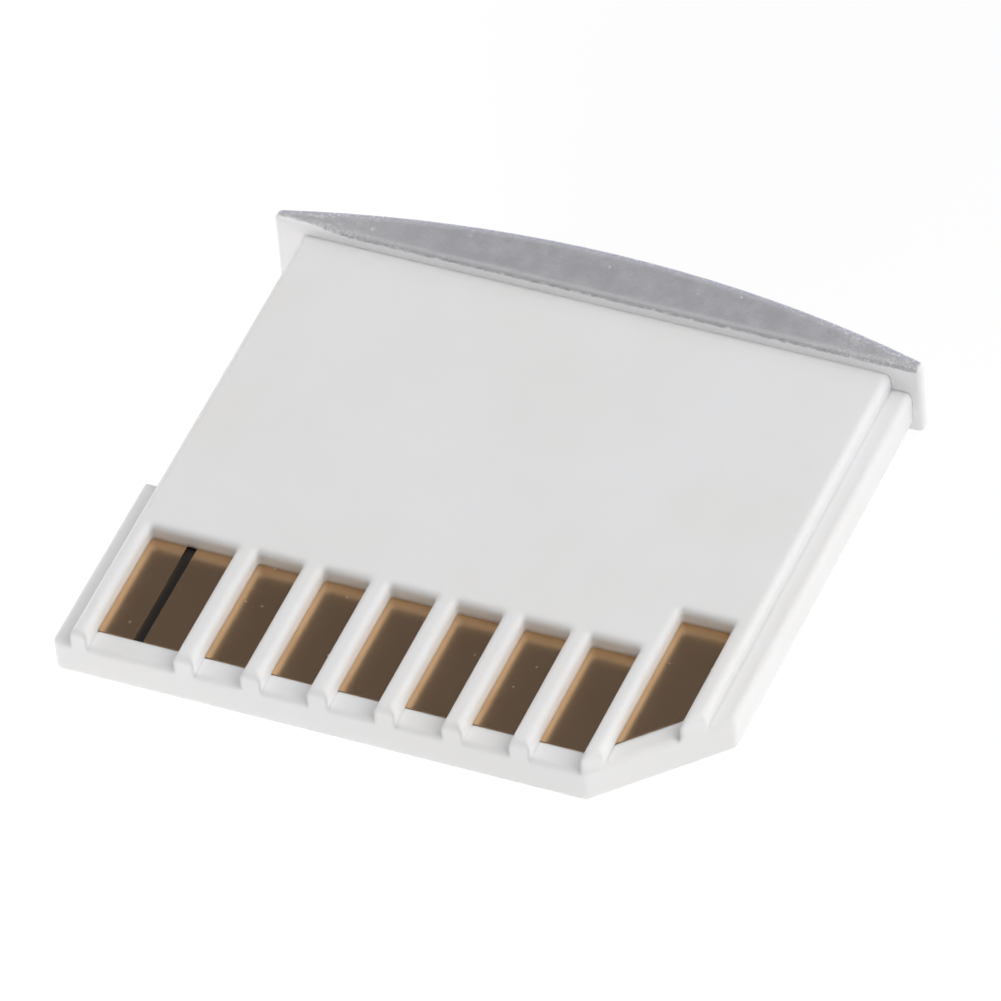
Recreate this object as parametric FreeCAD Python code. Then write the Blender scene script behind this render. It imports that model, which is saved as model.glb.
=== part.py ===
import FreeCAD, Part
import math
import os

from FreeCAD import Vector

# Short memory card adapter: a plug of full card width, with a side mouth for a small card and an end cap.
# Working frame: X across the width, Y from the insertion edge to the cap, Z up from the label face.
# The finished pieces are moved so that the origin is the middle of the footprint, at the lowest point.

# Plug outline, in millimetres
plug_width = 24.0
plug_length = 20.8
plug_thickness = 2.1
rail_thickness = 1.4
rail_width = 0.75
corner_cut = 4.0
plan_radius = 0.3
rail_edge_radius = 0.22
label_edge_radius = 0.14

# Raised middle with its ribs and windows; the row of windows fills the width
raised_edge_radius = 0.28
raised_root_depth = 0.45
rib_count = 6
rib_width = 0.76
corner_rib_width = 0.66
window_corner_radius = 0.12
left_strip = 0.63
right_strip = 0.72
wide_window_width = 3.29
corner_window_width = 2.01
window_back = 5.7
corner_window_back = 7.8
front_ledge = 0.9
corner_ledge = 0.76

# Contacts that lie under the windows
contact_thickness = 0.1
contact_tuck = 0.1
contact_tail = 0.5
eighth_contact_width = 1.33
split_contact_gap = 0.38

# Circuit board: a shelf under the contacts and an arm beside the bay
board_thickness = 0.8
board_gap = 0.05
board_corner_radius = 0.15
board_wall = 1.15

# Base cover, let into the label face
cover_thickness = 0.4
cover_rim = 0.9
cover_front_rim = 0.62
cover_back_rim = 0.6
cover_gap = 0.03
cover_corner_radius = 0.3
cover_lead_in = 0.15
support_rib_width = 0.5
support_rib_inset = 0.2
weld_pin_radius = 0.4
weld_pin_gap = 0.06
weld_pin_spacing = 4.4

# Bay for the small card, open at the left side
small_card_width = 11.0
small_card_length = 15.0
small_card_thickness = 0.7
bay_side_gap = 0.1
bay_height_gap = 0.15
bay_front_wall = 0.5
bay_back_wall = 1.05
mouth_post = 0.45
mouth_lead_in = 0.2

# Springs that touch the small card, in a chamber above its inner end
spring_count = 8
spring_pitch = 1.1
spring_width = 0.55
spring_thickness = 0.12
spring_bend = 0.3
spring_tail = 1.2
spring_reach = 2.1
spring_tip = 0.75
spring_tip_rise = 0.5
spring_drop = 0.17
solder_height = 0.02
chamber_roof = 0.35
chamber_wall = 0.4
chamber_reach = 3.8

# Insulating comb that carries the springs and stops the card
comb_width = 1.1
comb_gap = 0.1
comb_top_gap = 0.05
comb_slot_gap = 0.06

# End cap
cap_width = 24.7
cap_overhang = 0.5
cap_depth = 2.2
cap_end_depth = 0.5
cap_edge_radius = 0.18
cap_plan_radius = 0.24
tongue_width = 5.0
tongue_offset = 5.6
tongue_length = 0.6
tongue_thickness = 0.7
tongue_gap = 0.05

# Heights and edges worked out from the values above
half_width = plug_width / 2
raised_half = half_width - rail_width
pocket_half = half_width - board_wall
board_top = rail_thickness - contact_thickness
board_bottom = board_top - board_thickness
chamber_top = plug_thickness - chamber_roof
bay_width = small_card_width + 2 * bay_side_gap
bay_end = plug_length - bay_back_wall
bay_start = bay_end - bay_width
bay_top = cover_thickness + small_card_thickness + bay_height_gap
left_rail_length = bay_start - mouth_post
shelf_end = bay_start - bay_front_wall
card_stop = small_card_length - half_width + bay_side_gap
comb_right = card_stop + comb_gap + comb_width
arm_left = comb_right + board_gap
spring_bottom = board_top + solder_height
overall_length = plug_length + cap_depth
far = 2 * plug_length


def inward(line, distance):
    # the 45 degree line x - y = line, moved into the plug by a distance square to it
    return line - distance * math.sqrt(2)


# The cut corner's outer edge and the front edge of the contacts beside it, each as x - y
cut_line = half_width - corner_cut
ledge_line = inward(cut_line, corner_ledge)


def rounded_wire(corners):
    # closed wire through (x, y, radius) corners, with a tangent arc wherever the radius is over zero
    count = len(corners)
    points = [Vector(x, y, 0) for x, y, radius in corners]
    starts = []
    middles = []
    ends = []
    for i in range(count):
        radius = corners[i][2]
        before = (points[i - 1] - points[i]).normalize()
        after = (points[(i + 1) % count] - points[i]).normalize()
        half_angle = before.getAngle(after) / 2
        reach = radius / math.tan(half_angle)
        centre_way = (before + after).normalize()
        starts.append(points[i] + before * reach)
        ends.append(points[i] + after * reach)
        middles.append(points[i] + centre_way * (radius / math.sin(half_angle) - radius))
    edges = []
    for i in range(count):
        if corners[i][2] > 0:
            edges.append(Part.Arc(starts[i], middles[i], ends[i]).toShape())
        next_start = starts[(i + 1) % count]
        if ends[i].distanceToPoint(next_start) > 1e-6:
            edges.append(Part.LineSegment(ends[i], next_start).toShape())
    return Part.Wire(edges)


def plate(corners, bottom, top):
    # solid between two heights on a rounded outline
    solid = Part.Face(rounded_wire(corners)).extrude(Vector(0, 0, top - bottom))
    solid.translate(Vector(0, 0, bottom))
    return solid


def block(x0, x1, y0, y1, z0, z1):
    return Part.makeBox(x1 - x0, y1 - y0, z1 - z0, Vector(x0, y0, z0))


def level_edges(solid, height, keep):
    # the edges that lie at one height and whose middle point passes a test
    chosen = []
    for edge in solid.Edges:
        box = edge.BoundBox
        middle = edge.valueAt((edge.FirstParameter + edge.LastParameter) / 2)
        if max(abs(box.ZMin - height), abs(box.ZMax - height)) < 1e-5 and keep(middle):
            chosen.append(edge)
    return chosen


def anywhere(point):
    return True


def clear_of_cap(point):
    return point.y < plug_length - 0.01


def on_rails(point):
    left_of_bay = point.x < 0 and point.y > left_rail_length - 0.01
    return clear_of_cap(point) and not left_of_bay


def ribs():
    # left and right wall of each rib, from the wide window to the cut corner
    first_left = -raised_half + left_strip + wide_window_width
    last_right = raised_half - right_strip - corner_window_width
    pitch = (last_right - first_left - rib_width) / rib_count
    walls = []
    for i in range(rib_count):
        left = first_left + pitch * i
        walls.append((left, left + rib_width))
    walls.append((last_right - corner_rib_width, last_right))
    return walls


def rib_front(left, right):
    # corners of one rib's end, which is straight, or slanted where the cut corner starts
    return [(left, max(0, left - cut_line), 0), (right, max(0, right - cut_line), 0)]


def plug_corners():
    return [
        (-half_width, 0, plan_radius),
        (cut_line, 0, plan_radius),
        (half_width, corner_cut, plan_radius),
        (half_width, plug_length, 0),
        (-raised_half, plug_length, 0),
        (-raised_half, left_rail_length, 0),
        (-half_width, left_rail_length, 0),
    ]


def raised_corners():
    # comb-shaped outline of the raised middle, walked from the left strip to the right one
    left_wall = -raised_half + left_strip
    right_wall = raised_half - right_strip
    corners = rib_front(-raised_half, left_wall)
    for left, right in ribs():
        corners.append((left_wall, window_back, window_corner_radius))
        corners.append((left, window_back, window_corner_radius))
        corners += rib_front(left, right)
        left_wall = right
    corners.append((left_wall, corner_window_back, window_corner_radius))
    corners.append((right_wall, corner_window_back, window_corner_radius))
    corners += rib_front(right_wall, raised_half)
    corners.append((raised_half, plug_length, 0))
    corners.append((-raised_half, plug_length, 0))
    return corners


def plug_base():
    # walls and rails up to the plane of the contacts
    solid = plate(plug_corners(), 0, rail_thickness)
    solid = solid.makeFillet(rail_edge_radius, level_edges(solid, rail_thickness, on_rails))
    return solid.makeFillet(label_edge_radius, level_edges(solid, 0, clear_of_cap))


def raised_middle():
    # the raised surface with its ribs, rooted in the walls below and rounded along every edge but the cap's
    solid = plate(raised_corners(), rail_thickness - raised_root_depth, plug_thickness)
    return solid.makeFillet(raised_edge_radius, level_edges(solid, plug_thickness, clear_of_cap))


def board_pocket():
    shelf = plate([
        (-pocket_half, front_ledge, 0),
        (ledge_line + front_ledge, front_ledge, 0),
        (pocket_half, pocket_half - ledge_line, 0),
        (pocket_half, shelf_end, 0),
        (-pocket_half, shelf_end, 0),
    ], 0, rail_thickness)
    arm = block(card_stop, pocket_half, shelf_end - board_gap, bay_end, 0, chamber_top)
    return shelf.fuse(arm)


def card_bay():
    # room for the small card, for the springs above its inner end, and a slope that leads the card in
    inner = card_stop + comb_gap
    bay = block(-far, inner, bay_start, bay_end, 0, bay_top)
    chamber = block(card_stop - chamber_reach, inner, bay_start + chamber_wall, bay_end - chamber_wall,
                    0, chamber_top)
    slope = Part.Face(Part.makePolygon([
        Vector(-raised_half, bay_start, bay_top + mouth_lead_in),
        Vector(-raised_half + mouth_lead_in, bay_start, bay_top),
        Vector(-half_width, bay_start, bay_top),
        Vector(-half_width, bay_start, bay_top + mouth_lead_in),
        Vector(-raised_half, bay_start, bay_top + mouth_lead_in),
    ])).extrude(Vector(0, bay_width, 0))
    return bay.fuse([chamber, slope])


def cover_corners(inset):
    # outline of the base cover, drawn in all round by the inset
    side = half_width - cover_rim - inset
    front = cover_front_rim + inset
    back = plug_length - cover_back_rim - inset
    line = inward(cut_line, front)
    return [
        (-side, front, cover_corner_radius),
        (line + front, front, cover_corner_radius),
        (side, side - line, cover_corner_radius),
        (side, back, cover_corner_radius),
        (-side, back, cover_corner_radius),
    ]


def cover_plate(inset):
    # the cover with the tab that makes the sill of the card mouth, flush with the plug's side
    inside = -half_width + cover_rim + cover_corner_radius
    tab = block(-raised_half, inside + inset, bay_start + inset, bay_end - inset, 0, cover_thickness)
    return plate(cover_corners(inset), 0, cover_thickness).fuse(tab)


def tongues(gap):
    # the cap's two tongues, or with a gap the sockets for them
    bottom = (plug_thickness - tongue_thickness) / 2
    pair = []
    for middle in (-tongue_offset, tongue_offset):
        pair.append(block(middle - tongue_width / 2 - gap, middle + tongue_width / 2 + gap,
                          plug_length - tongue_length - gap, plug_length,
                          bottom - gap, bottom + tongue_thickness + gap))
    return pair


def make_housing():
    solid = plug_base().fuse(raised_middle())
    solid = solid.cut([board_pocket(), card_bay(), cover_plate(0)])
    return solid.cut(tongues(tongue_gap)).removeSplitter()


def weld_pins(radius):
    # upright pins beside the springs' tails, or with a larger radius the holes around them
    x = (arm_left + spring_tail + pocket_half) / 2
    places = [(bay_start + bay_end + way * weld_pin_spacing) / 2 for way in (-1, 1)]
    return [Part.makeCylinder(radius, chamber_top, Vector(x, y, 0)) for y in places]


def support_ribs():
    # low ribs on the cover that press the board up against the housing
    side = pocket_half - support_rib_inset
    front = front_ledge + support_rib_inset
    back = shelf_end - support_rib_inset
    end = bay_end - support_rib_inset
    return [
        block(-side, ledge_line + front, front, front + support_rib_width, 0, board_bottom),
        block(-side, side, back - support_rib_width, back, 0, board_bottom),
        block(arm_left + support_rib_inset, side, end - support_rib_width, end, 0, board_bottom),
    ]


def make_base_cover():
    solid = cover_plate(cover_gap)
    sill = [edge for edge in level_edges(solid, cover_thickness, clear_of_cap)
            if edge.BoundBox.XMax < -raised_half + 1e-4]
    solid = solid.makeChamfer(cover_lead_in, sill)
    return solid.fuse(support_ribs() + weld_pins(weld_pin_radius)).removeSplitter()


def board_layer(bottom, top):
    # a layer on the board's outline, with the holes for the weld pins
    line = inward(ledge_line, board_gap)
    side = pocket_half - board_gap
    front = front_ledge + board_gap
    back = bay_end - board_gap
    shelf_back = shelf_end - board_gap
    layer = plate([
        (-side, front, board_corner_radius),
        (line + front, front, board_corner_radius),
        (side, side - line, board_corner_radius),
        (side, back, board_corner_radius),
        (arm_left, back, board_corner_radius),
        (arm_left, shelf_back, board_corner_radius),
        (-side, shelf_back, board_corner_radius),
    ], bottom, top)
    return layer.cut(weld_pins(weld_pin_radius + weld_pin_gap))


def make_contacts():
    # contacts 1 to 8 from right to left and then 9 at the cut corner, trimmed to the board under them
    walls = ribs()
    spans = []
    for i in range(rib_count, 0, -1):
        spans.append((walls[i - 1][1], walls[i][0], window_back))
    wide_left = -raised_half + left_strip
    split_left = wide_left + eighth_contact_width
    split_right = split_left + split_contact_gap
    spans.append((split_right + contact_tuck, walls[0][0], window_back))
    spans.append((wide_left, split_left - contact_tuck, window_back))
    spans.append((walls[-1][1], raised_half - right_strip, corner_window_back))
    layer = board_layer(board_top, rail_thickness)
    contacts = []
    for left, right, back in spans:
        strip = block(left - contact_tuck, right + contact_tuck, 0, back + contact_tail,
                      board_top, rail_thickness)
        contacts.append(strip.common(layer))
    return contacts


def spring_path():
    # middle line of a spring in X and Z: soldered tail, arm through the comb, contact bend, raised tip
    low = spring_bottom + spring_thickness / 2
    touch_x = card_stop - spring_reach
    touch_z = cover_thickness + small_card_thickness - spring_drop
    return [
        (arm_left + spring_tail, low),
        (card_stop, low),
        (touch_x, touch_z),
        (touch_x - spring_tip, touch_z + spring_tip_rise),
    ]


def strip_corners(path, thickness, bend):
    # outline of a bent strip around its middle line, where bend is the inside radius of each turn
    points = [Vector(x, z, 0) for x, z in path]
    ways = [(points[i + 1] - points[i]).normalize() for i in range(len(points) - 1)]
    upper = []
    lower = []
    for i, point in enumerate(points):
        into = ways[max(i - 1, 0)]
        out = ways[min(i, len(ways) - 1)]
        side = Vector(-into.y, into.x, 0)
        miter = (side + Vector(-out.y, out.x, 0)).normalize()
        reach = miter * (thickness / 2 / miter.dot(side))
        turn = into.cross(out).z
        inside = bend if turn else 0
        outside = bend + thickness if turn else 0
        upper.append((point + reach, inside if turn > 0 else outside))
        lower.append((point - reach, outside if turn > 0 else inside))
    return [(point.x, point.y, radius) for point, radius in upper + lower[::-1]]


def spring_middles():
    first = (bay_start + bay_end) / 2 - spring_pitch * (spring_count - 1) / 2
    return [first + spring_pitch * i for i in range(spring_count)]


def make_springs():
    # one bent strip, stood upright and repeated at the pitch of the small card's contacts
    strip = plate(strip_corners(spring_path(), spring_thickness, spring_bend), 0, spring_width)
    strip.rotate(Vector(0, 0, 0), Vector(1, 0, 0), 90)
    springs = []
    for middle in spring_middles():
        spring = strip.copy()
        spring.translate(Vector(0, middle + spring_width / 2, 0))
        springs.append(spring)
    return springs


def make_comb():
    # a bar across the bay with one open slot for each spring
    left = card_stop + comb_gap
    start = bay_start + chamber_wall + comb_gap
    end = bay_end - chamber_wall - comb_gap
    top = chamber_top - comb_top_gap
    slot = spring_width / 2 + comb_slot_gap
    slots = [block(left - 1, comb_right + 1, middle - slot, middle + slot, spring_bottom, top + 1)
             for middle in spring_middles()]
    return block(left, comb_right, start, end, cover_thickness, top).cut(slots)


def make_end_cap():
    # crescent that stands proud of the plug all round, with two tongues into the housing
    half = cap_width / 2
    rise = cap_depth - cap_end_depth
    radius = (half * half + rise * rise) / (2 * rise)
    bottom = -cap_overhang
    top = plug_thickness + cap_overhang
    back = plug_length + cap_depth
    slab = block(-half, half, plug_length, back, bottom, top)
    solid = slab.common(Part.makeCylinder(radius, top - bottom, Vector(0, back - radius, bottom)))
    upright = [edge for edge in solid.Edges if edge.BoundBox.ZLength > cap_overhang]
    solid = solid.makeFillet(cap_plan_radius, upright)
    rims = level_edges(solid, top, anywhere) + level_edges(solid, bottom, anywhere)
    return solid.makeFillet(cap_edge_radius, rims).fuse(tongues(0)).removeSplitter()


def save(name, shape):
    # move a piece from the working frame to the part's own frame and write it
    piece = shape.copy()
    piece.translate(Vector(0, -overall_length / 2, cap_overhang))
    piece.exportStep("parts/" + name + ".step")
    print(name, piece.isValid(), len(piece.Solids), round(piece.Volume, 3))


def save_row(name, shapes):
    for number, shape in enumerate(shapes, 1):
        save(name + "_" + str(number), shape)


def main():
    os.makedirs("parts", exist_ok=True)
    save("contact_side_housing", make_housing())
    save("base_cover", make_base_cover())
    save("end_cap", make_end_cap())
    save("circuit_board", board_layer(board_bottom, board_top))
    save("spring_comb", make_comb())
    save_row("contact", make_contacts())
    save_row("card_spring", make_springs())


main()
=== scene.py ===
import math

import bpy
from mathutils import Matrix, Vector


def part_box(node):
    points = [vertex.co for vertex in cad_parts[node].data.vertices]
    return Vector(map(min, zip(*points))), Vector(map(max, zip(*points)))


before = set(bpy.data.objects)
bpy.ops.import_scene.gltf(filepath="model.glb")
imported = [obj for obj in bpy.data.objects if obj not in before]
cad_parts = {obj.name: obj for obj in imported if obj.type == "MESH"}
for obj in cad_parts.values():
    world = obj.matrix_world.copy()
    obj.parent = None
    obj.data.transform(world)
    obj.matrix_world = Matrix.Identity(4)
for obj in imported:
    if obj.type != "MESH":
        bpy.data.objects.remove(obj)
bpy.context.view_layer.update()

millimetre = 0.001
print("frame loaded:", len(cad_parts), "nodes")


# node maths: a wrapped socket takes part in sums, and each sum adds its Math node

class Value:
    def __init__(self, tree, socket):
        self.tree = tree
        self.socket = socket

    def combine(self, operation, first, second):
        node = self.tree.nodes.new("ShaderNodeMath")
        node.operation = operation
        for slot, item in zip(node.inputs, (first, second)):
            if isinstance(item, Value):
                self.tree.links.new(item.socket, slot)
            else:
                slot.default_value = item
        return Value(self.tree, node.outputs[0])

    def __add__(self, other):
        return self.combine("ADD", self, other)

    def __radd__(self, other):
        return self.combine("ADD", other, self)

    def __sub__(self, other):
        return self.combine("SUBTRACT", self, other)

    def __rsub__(self, other):
        return self.combine("SUBTRACT", other, self)

    def __mul__(self, other):
        return self.combine("MULTIPLY", self, other)

    def __rmul__(self, other):
        return self.combine("MULTIPLY", other, self)

    def __abs__(self):
        return self.combine("ABSOLUTE", self, 0)


class Finish:
    # one node tree, for a material or the world, with the few nodes that the finishes share
    def __init__(self, owner):
        owner.use_nodes = True
        self.owner = owner
        self.tree = owner.node_tree
        self.tree.nodes.clear()

    def node(self, kind, settings=None, output=0, **sockets):
        # a socket goes by its name with _ for each space, or by _ and its number
        node = self.tree.nodes.new("ShaderNode" + kind)
        for name, setting in (settings or {}).items():
            setattr(node, name, setting)
        for name, item in sockets.items():
            key = int(name[1:]) if name[0] == "_" else name.replace("_", " ")
            slot = node.inputs[key]
            if isinstance(item, Value):
                self.tree.links.new(item.socket, slot)
            else:
                slot.default_value = item
        return Value(self.tree, node.outputs[output]) if node.outputs else None

    def place(self, stretch=(1, 1, 1)):
        # object coordinates in millimetres
        scale = [side / millimetre for side in stretch]
        return self.node("Mapping", Vector=self.node("TexCoord", output=3), Scale=scale)

    def noise(self, perMillimetre, detail, roughness=0.5, stretch=(1, 1, 1)):
        return self.node("TexNoise", Vector=self.place(stretch), Scale=perMillimetre,
                         Detail=detail, Roughness=roughness)

    def cells(self, perMillimetre, output=0):
        # output 0 is the distance from each cell's middle, and 1 is the cell's own colour
        return self.node("TexVoronoi", output=output, Vector=self.place(), Scale=perMillimetre)

    def between(self, amount, low, high):
        # 0 at low and 1 at high, with a soft step between
        return self.node("MapRange", {"interpolation_type": "SMOOTHSTEP"},
                         Value=amount, From_Min=low, From_Max=high)

    def blend(self, amount, first, second):
        # colours mixed by an amount
        return self.node("Mix", {"data_type": "RGBA"}, output=2, _0=amount, _6=first, _7=second)

    def mix(self, amount, first, second):
        # plain numbers mixed by an amount
        return self.node("Mix", {"data_type": "FLOAT"}, output=0, _0=amount, _2=first, _3=second)

    def bump(self, height, depth, strength=1.0, under=None):
        sockets = {"Normal": under} if under else {}
        return self.node("Bump", Height=height, Distance=depth, Strength=strength, **sockets)

    def softEdges(self, radius):
        # normals that round the sharp edges, as a mould or a punch leaves them
        return self.node("Bevel", {"samples": 6}, Radius=radius)

    def surface(self, **sockets):
        shader = self.node("BsdfPrincipled", **sockets)
        self.node("OutputMaterial", Surface=shader)
        return self.owner


def newFinish(name):
    return Finish(bpy.data.materials.new(name))


def paint(nodeName, material):
    # the finish of a construction piece
    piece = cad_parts[nodeName]
    piece.data.materials.clear()
    piece.data.materials.append(material)


# moulded white plastic, for the housing and the cover

whitePlastic = {
    "colour": (0.80, 0.80, 0.805, 1),
    "warmColour": (0.79, 0.785, 0.775, 1),
    "cloudsPerMillimetre": 0.25,
    "warmStep": (0.35, 0.7),
    "roughness": 0.42,
    "roughnessSpread": 0.12,
    "grainPerMillimetre": 14,
    "grainDepth": 0.0012 * millimetre,
    "wavesPerMillimetre": 0.35,
    "waveDepth": 0.004 * millimetre,
    "edgeRadius": 0.25 * millimetre,
    "refraction": 1.5,
    "innerLight": 0.15,
    "innerReach": (0.6, 0.5, 0.42),    # of red, green and blue light, in millimetres
}


def makeWhitePlastic():
    look = whitePlastic
    finish = newFinish("whitePlastic")
    cloud = finish.noise(look["cloudsPerMillimetre"], detail=3)
    grain = finish.noise(look["grainPerMillimetre"], detail=3, roughness=0.6)
    wave = finish.noise(look["wavesPerMillimetre"], detail=1)
    waves = finish.bump(wave, look["waveDepth"], under=finish.softEdges(look["edgeRadius"]))
    normal = finish.bump(grain, look["grainDepth"], under=waves)
    warm = finish.between(cloud, *look["warmStep"])
    colour = finish.blend(warm, look["colour"], look["warmColour"])
    roughness = look["roughness"] + look["roughnessSpread"] * (grain - 0.5)
    return finish.surface(
        Base_Color=colour, Roughness=roughness, Normal=normal, IOR=look["refraction"],
        Subsurface_Weight=look["innerLight"], Subsurface_Radius=look["innerReach"],
        Subsurface_Scale=millimetre)


# silver paint with fine metal flake, sprayed over the cap: its front face and its ends are bare
# its margins, drops and spans are in millimetres, and a step is where a soft mask begins and ends

silverPaint = {
    "colour": (0.79, 0.785, 0.81, 1),
    "cloudColour": (0.94, 0.935, 0.95, 1),
    "edgeColour": (0.50, 0.50, 0.52, 1),
    # a bluish painted reflection along the back rim of the top
    "rimReflectionColour": (0.47, 0.47, 0.59, 1),
    "flakeColour": (0.2, 0.2, 0.22, 1),
    "thinColour": (0.25, 0.26, 0.25, 1),
    # white of bare plastic in chips, also used for painted light, painted sheen and painted glints
    "chipAndPaintedLightColour": (0.97, 0.97, 0.98, 1),
    # bare white plastic of the front face, made lighter than its own white: painted light on a face
    # in shade
    "frontBareLitColour": (0.92, 0.905, 0.915, 1),
    "endColour": (0.83, 0.82, 0.82, 1),
    "metalShare": 0.75,
    "dullShare": 0.85,               # how much less metallic the rim and the front edge are
    "roughness": 0.40,
    "roughnessSpread": 0.10,
    "bareRoughness": 0.45,
    "flakesPerMillimetre": 20,
    "flakeContrast": 0.16,
    "flakeDepth": 0.0012 * millimetre,
    "flakeStrength": 0.5,
    "cloudsPerMillimetre": 1.3,
    "cloudStep": (0.35, 0.7),
    "frontDrop": 0.15,               # how far the paint comes down over the front edge
    "endMargin": 0.12,
    "raggedness": 0.22,
    "raggedPerMillimetre": 5,
    "frontSoftness": 0.04,
    "endSoftness": 0.05,
    "leftSetback": 0.28,             # the paint starts further back at the left end
    "leftSpan": (-9.3, -11.3),
    "endSpan": (12.0, 12.3),
    "backSag": 1.7,
    "rimStep": (0.04, 0.45),
    "topStep": (0.14, 0.24),
    "overEdgeStep": (0.08, 0.32),
    # painted light: the paint is lighter towards the left end
    "paintedLeftLightSpan": (-4, -10),
    "paintedLeftLightShare": 0.55,
    # a painted sheen: the paint is lighter just behind its front border
    "paintedFrontSheenStep": (0.2, 0.9),
    "paintedFrontSheenShare": 0.3,

    # worn spots along the front border, sparkles, which are painted glints, along the rim, the
    # border and the two ends, and specks
    "borderStep": (0.04, 0.16),
    "blotsPerMillimetre": 4.5,
    "thinStep": (0.50, 0.60),
    "thinShare": 0.8,
    "chipStep": (0.46, 0.36),
    "chipShare": 0.6,
    "sparklesPerMillimetre": 9,
    "sparkleStep": (0.50, 0.64),
    "sparkleShare": 0.6,
    "sparkleOnRim": 0.8,
    "sparkleOnBorder": 0.6,
    "sparkleAtEnds": 0.7,
    "sparkleSpan": (6, 11),
    "specksPerMillimetre": 1.0,
    "speckStep": (0.03, 0.08),
    "speckShare": 0.45,
}

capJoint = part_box("contact_side_housing")[1].y / millimetre
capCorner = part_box("end_cap")[1] / millimetre


def backDistance(finish, across, depth):
    # distance from the cap's back, an arc through its deepest point and the two ends
    sag = silverPaint["backSag"]
    radius = (capCorner.x ** 2 + sag ** 2) / (2 * sag)
    middle = capCorner.y - capJoint - radius
    arm = finish.node("CombineXYZ", X=across, Y=depth - middle)
    return radius - finish.node("VectorMath", {"operation": "LENGTH"}, output=1, _0=arm)


def makeSilverPaint():
    look = silverPaint
    finish = newFinish("silverPaint")

    # where a point lies: across from the middle, back from the joint and down from the top
    across, along, height = (
        finish.node("SeparateXYZ", output=axis, Vector=finish.place()) for axis in range(3))
    depth = along - capJoint
    below = finish.node("Clamp", Value=capCorner.z - height, Max=2 * look["frontDrop"])
    fromBack = backDistance(finish, across, depth)

    # the painted part, with a ragged border
    raggedNoise = finish.noise(look["raggedPerMillimetre"], detail=4, roughness=0.7)
    ragged = look["raggedness"] * (raggedNoise - 0.5)
    fromFront = depth - below + ragged + look["frontDrop"]
    fromFront = fromFront - look["leftSetback"] * finish.between(across, *look["leftSpan"])
    fromEnd = capCorner.x - abs(across) + ragged - look["endMargin"]
    insideFront = finish.between(fromFront, -look["frontSoftness"], look["frontSoftness"])
    insideEnd = finish.between(fromEnd, -look["endSoftness"], look["endSoftness"])
    painted = insideFront * insideEnd

    # regions of the paint, and where light is painted on it
    topSide = 1 - finish.between(below, *look["topStep"])
    rim = topSide * (1 - finish.between(fromBack, *look["rimStep"]))
    overEdge = 1 - finish.between(depth, *look["overEdgeStep"])
    # painted sheen, lighter towards the front border
    paintedFrontSheen = look["paintedFrontSheenShare"] * (1 - finish.between(fromFront, *look["paintedFrontSheenStep"]))
    # painted light, growing towards the left end
    paintedLeftLight = look["paintedLeftLightShare"] * finish.between(across, *look["paintedLeftLightSpan"])
    border = 1 - finish.between(fromFront, *look["borderStep"])
    flakes = finish.node("SeparateColor", Color=finish.cells(look["flakesPerMillimetre"], output=1))
    cloudNoise = finish.noise(look["cloudsPerMillimetre"], detail=4, roughness=0.65)
    cloud = finish.between(cloudNoise, *look["cloudStep"])

    # thin spots, chips and specks, and sparkles, which are painted glints of the flake
    blots = finish.noise(look["blotsPerMillimetre"], detail=4, roughness=0.7)
    thin = border * finish.between(blots, *look["thinStep"])
    chips = border * finish.between(blots, *look["chipStep"])
    nearEnd = finish.between(abs(across), *look["sparkleSpan"])
    sparkleNoise = finish.noise(look["sparklesPerMillimetre"], detail=3, roughness=0.7)
    sparkleArea = finish.node("Clamp", Value=(
        look["sparkleOnRim"] * rim + look["sparkleOnBorder"] * border
        + look["sparkleAtEnds"] * nearEnd))
    # sparkles: painted glints at the rim, the border and the ends
    sparkle = topSide * finish.between(sparkleNoise, *look["sparkleStep"]) * sparkleArea
    specks = 1 - finish.between(finish.cells(look["specksPerMillimetre"]), *look["speckStep"])
    # white gathers specks, paint chips and the painted glints of the sparkles
    white = finish.node("Clamp", Value=(
        look["speckShare"] * specks + look["chipShare"] * chips
        + look["sparkleShare"] * sparkle))

    metal = finish.blend(cloud, look["colour"], look["cloudColour"])
    # painted light on the left end
    metal = finish.blend(paintedLeftLight, metal, look["chipAndPaintedLightColour"])
    # painted sheen near the front border
    metal = finish.blend(paintedFrontSheen, metal, look["chipAndPaintedLightColour"])
    # the back rim takes a bluish painted reflection
    metal = finish.blend(rim, metal, look["rimReflectionColour"])
    metal = finish.blend(overEdge, metal, look["edgeColour"])
    metal = finish.blend(look["flakeContrast"] * flakes, metal, look["flakeColour"])
    metal = finish.blend(look["thinShare"] * thin, metal, look["thinColour"])
    metal = finish.blend(white, metal, look["chipAndPaintedLightColour"])
    atEnd = finish.between(abs(across), *look["endSpan"])
    # the bare front face carries painted light, and the bare ends are plain
    bare = finish.blend(atEnd, look["frontBareLitColour"], look["endColour"])
    colour = finish.blend(painted, bare, metal)

    dull = look["dullShare"]
    metallic = look["metalShare"] * painted * (1 - white) * (1 - dull * rim) * (1 - dull * overEdge)
    paintRoughness = look["roughness"] + look["roughnessSpread"] * (flakes - 0.5)
    roughness = finish.mix(painted, look["bareRoughness"], paintRoughness)
    normal = finish.bump(flakes, look["flakeDepth"], strength=look["flakeStrength"])
    return finish.surface(Base_Color=colour, Roughness=roughness, Metallic=metallic, Normal=normal)


# gold plate of the contacts, with dull clouds and a few specks

goldPlate = {
    "colour": (0.78, 0.53, 0.31, 1),
    "dullColour": (0.73, 0.485, 0.275, 1),
    "speckColour": (0.95, 0.85, 0.75, 1),
    "cloudsPerMillimetre": 0.8,
    "dullStep": (0.3, 0.75),
    "specksPerMillimetre": 1.2,
    "speckStep": (0.03, 0.07),
    "roughness": 0.26,
    "cloudRoughness": 0.03,
    "speckRoughness": 0.14,
    "edgeRadius": 0.008 * millimetre,
}


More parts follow.
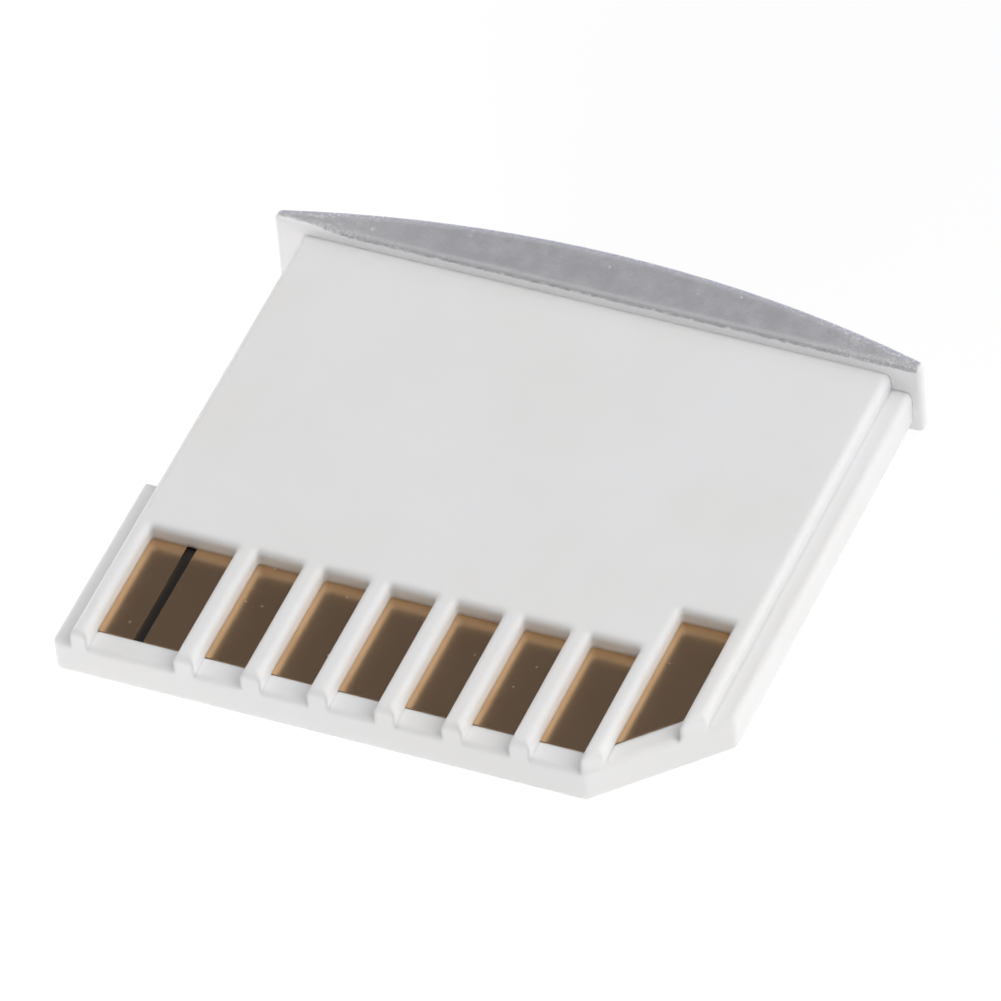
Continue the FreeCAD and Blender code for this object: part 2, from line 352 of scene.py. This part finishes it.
def makeGoldPlate():
    look = goldPlate
    finish = newFinish("goldPlate")
    cloud = finish.noise(look["cloudsPerMillimetre"], detail=4, roughness=0.65)
    specks = 1 - finish.between(finish.cells(look["specksPerMillimetre"]), *look["speckStep"])
    dull = finish.between(cloud, *look["dullStep"])
    colour = finish.blend(dull, look["colour"], look["dullColour"])
    colour = finish.blend(specks, colour, look["speckColour"])
    roughness = look["roughness"] + look["cloudRoughness"] * (cloud - 0.5)
    roughness = roughness + look["speckRoughness"] * specks
    edges = finish.softEdges(look["edgeRadius"])
    return finish.surface(Base_Color=colour, Metallic=1.0, Roughness=roughness, Normal=edges)


# black resist of the board, which shows in the gap between two contacts

boardResist = {
    "colour": (0.010, 0.009, 0.008, 1),
    "weaveColour": (0.022, 0.019, 0.016, 1),
    "weavePerMillimetre": 3,
    "weaveDepth": 0.003 * millimetre,
    "roughness": 0.35,
}


def makeBoardResist():
    look = boardResist
    finish = newFinish("boardResist")
    weave = finish.noise(look["weavePerMillimetre"], detail=2)
    colour = finish.blend(weave, look["colour"], look["weaveColour"])
    normal = finish.bump(weave, look["weaveDepth"])
    return finish.surface(Base_Color=colour, Roughness=look["roughness"], Normal=normal)


# gilded metal of the card springs, brushed along one way

springMetal = {
    "colour": (0.80, 0.60, 0.36, 1),
    "brushedColour": (0.90, 0.72, 0.46, 1),
    "brushPerMillimetre": 5,
    "brushStretch": (0.15, 1, 1),
    "roughness": 0.22,
    "roughnessSpread": 0.12,
}


def makeSpringMetal():
    look = springMetal
    finish = newFinish("springMetal")
    brush = finish.noise(look["brushPerMillimetre"], detail=3, stretch=look["brushStretch"])
    colour = finish.blend(brush, look["colour"], look["brushedColour"])
    roughness = look["roughness"] + look["roughnessSpread"] * brush
    return finish.surface(Base_Color=colour, Metallic=1.0, Roughness=roughness)


# black plastic of the bar that carries the springs

blackPlastic = {
    "colour": (0.018, 0.018, 0.019, 1),
    "grainColour": (0.035, 0.035, 0.036, 1),
    "grainPerMillimetre": 12,
    "grainDepth": 0.002 * millimetre,
    "roughness": 0.5,
}


def makeBlackPlastic():
    look = blackPlastic
    finish = newFinish("blackPlastic")
    grain = finish.noise(look["grainPerMillimetre"], detail=3)
    colour = finish.blend(grain, look["colour"], look["grainColour"])
    normal = finish.bump(grain, look["grainDepth"])
    return finish.surface(Base_Color=colour, Roughness=look["roughness"], Normal=normal)


white = makeWhitePlastic()
silver = makeSilverPaint()
gold = makeGoldPlate()
resist = makeBoardResist()
springs = makeSpringMetal()
black = makeBlackPlastic()
paint("contact_side_housing", white)
paint("base_cover", white)
paint("end_cap", silver)
paint("circuit_board", resist)
paint("spring_comb", black)
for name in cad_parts:
    if name.startswith("contact_") and name != "contact_side_housing":
        paint(name, gold)
    if name.startswith("card_spring_"):
        paint(name, springs)
print("finishes made")


# camera: where it stands, from the insertion edge's middle at the label face

cameraView = {
    "azimuth": 26.30,
    "elevation": 44.98,
    "roll": -5.52,
    "distance": 0.4902,
    "slideRight": 4.4405 * millimetre,
    "slideUp": 8.5293 * millimetre,
    "focalLength": 510.65,
    "sensorWidth": 36,
    "clipStart": 0.01,
    "clipEnd": 20,
}


def makeCamera():
    view = cameraView
    azimuth = math.radians(view["azimuth"])
    elevation = math.radians(view["elevation"])
    roll = math.radians(view["roll"])
    level = Vector((math.cos(azimuth), math.sin(azimuth), 0))
    back = Vector((math.sin(azimuth) * math.cos(elevation),
                   -math.cos(azimuth) * math.cos(elevation),
                   math.sin(elevation)))
    upright = back.cross(level)
    right = level * math.cos(roll) + upright * math.sin(roll)
    up = upright * math.cos(roll) - level * math.sin(roll)
    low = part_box("contact_side_housing")[0]
    place = Vector((0, low.y, low.z)) + back * view["distance"]
    place = place + right * view["slideRight"] + up * view["slideUp"]
    lens = bpy.data.cameras.new("camera")
    lens.lens = view["focalLength"]
    lens.sensor_width = view["sensorWidth"]
    lens.clip_start = view["clipStart"]
    lens.clip_end = view["clipEnd"]
    camera = bpy.data.objects.new("camera", lens)
    turn = Matrix((right, up, back)).transposed().to_4x4()
    camera.matrix_world = Matrix.Translation(place) @ turn
    bpy.context.scene.collection.objects.link(camera)
    bpy.context.scene.camera = camera


# studio: a sky that is lightest high on the right and at the back and low on the left,
# a white floor that glows mostly to the left and in front, and two dark cards

studio = {
    "skyTop": 1.25,
    "skyHighRight": 3.20,
    "skyHighBack": 2.20,
    "skyLowLeft": 2.30,
    "skyRest": 0.10,
    "highStep": (0.2, 0.5),
    "floorSize": 1.5,
    "floorGap": 0.02 * millimetre,
    "floorColour": (0.86, 0.86, 0.86, 1),
    "glowLeft": 0.92,
    "glowFront": 0.62,
    "glowRight": 0.28,
    "floorWhite": 1.0,
    "floorWhiteShare": 0.9,
    "cards": {
        "backCard": {
            "towards": (-0.346, 0.621, 0.704),
            "distance": 0.32,
            "size": 0.34,
            "glow": 0.095,
            "colour": (1, 1.01, 1.2, 1),
        },
        "frontCard": {
            "towards": (0.05, -0.84, 0.54),
            "distance": 0.36,
            "size": 0.42,
            "glow": 0.01,
            "colour": (1, 1, 1, 1),
        },
    },
}


def addPlane(name, size, matrix, material):
    half = size / 2
    corners = [(-half, -half, 0), (half, -half, 0), (half, half, 0), (-half, half, 0)]
    mesh = bpy.data.meshes.new(name)
    mesh.from_pydata(corners, [], [(0, 1, 2, 3)])
    mesh.materials.append(material)
    plane = bpy.data.objects.new(name, mesh)
    plane.matrix_world = matrix
    bpy.context.scene.collection.objects.link(plane)
    return plane


def addCard(name):
    # a dim card that faces the part and isn't in the picture
    look = studio["cards"][name]
    finish = newFinish(name)
    glow = finish.node("Emission", Color=look["colour"], Strength=look["glow"])
    finish.node("OutputMaterial", Surface=glow)
    towards = Vector(look["towards"]).normalized()
    turn = towards.to_track_quat("Z", "Y").to_matrix().to_4x4()
    stand = Matrix.Translation(towards * look["distance"]) @ turn
    card = addPlane(name, look["size"], stand, finish.owner)
    card.visible_camera = False


def leaning(finish, direction, axis, way):
    # how far a direction leans one way along an axis, 0 when it leans the other way
    part = finish.node("SeparateXYZ", output=axis, Vector=direction)
    share = finish.node("Clamp", Value=way * part)
    return share * share


def seenDirectly(finish):
    # 1 for rays that show the background itself, 0 for the light that falls on the part
    camera = finish.node("LightPath", output=0)
    glossy = finish.node("LightPath", output=3)
    clear = finish.node("LightPath", output=6)
    return finish.node("Clamp", Value=camera + glossy + clear)


def makeFloor():
    look = studio
    floor = newFinish("floorPaper")
    paper = floor.node("BsdfDiffuse", Color=look["floorColour"])
    point = floor.node("TexCoord", output=3)
    away = floor.node("VectorMath", {"operation": "NORMALIZE"}, _0=point)
    left = leaning(floor, away, 0, -1)
    right = leaning(floor, away, 0, 1)
    front = leaning(floor, away, 1, -1)
    glow = look["glowLeft"] * left + look["glowRight"] * right + look["glowFront"] * front
    lit = floor.node("AddShader", _0=paper, _1=floor.node("Emission", Strength=glow))
    plain = floor.node("Emission", Strength=look["floorWhite"])
    share = seenDirectly(floor) * look["floorWhiteShare"]
    shown = floor.node("MixShader", _0=share, _1=lit, _2=plain)
    floor.node("OutputMaterial", Surface=shown)
    addPlane("floor", look["floorSize"], Matrix.Translation((0, 0, -look["floorGap"])), floor.owner)


def makeSky():
    look = studio
    scene = bpy.context.scene
    scene.world = scene.world or bpy.data.worlds.new("studio")
    sky = Finish(scene.world)
    direction = sky.node("TexCoord", output=0)
    rise = sky.node("SeparateXYZ", output=2, Vector=direction)
    high = sky.between(rise, *look["highStep"])
    upper = (look["skyHighRight"] * leaning(sky, direction, 0, 1)
             + look["skyHighBack"] * leaning(sky, direction, 1, 1))
    lower = look["skyLowLeft"] * leaning(sky, direction, 0, -1)
    light = look["skyRest"] + look["skyTop"] * leaning(sky, direction, 2, 1)
    light = light + high * upper + (1 - high) * lower
    strength = light + (1 - light) * seenDirectly(sky)
    background = sky.node("Background", Color=(1, 1, 1, 1), Strength=strength)
    sky.node("OutputWorld", Surface=background)


makeCamera()
makeFloor()
makeSky()
for cardName in studio["cards"]:
    addCard(cardName)
bpy.context.scene.view_settings.view_transform = "Standard"
print("camera and studio set")
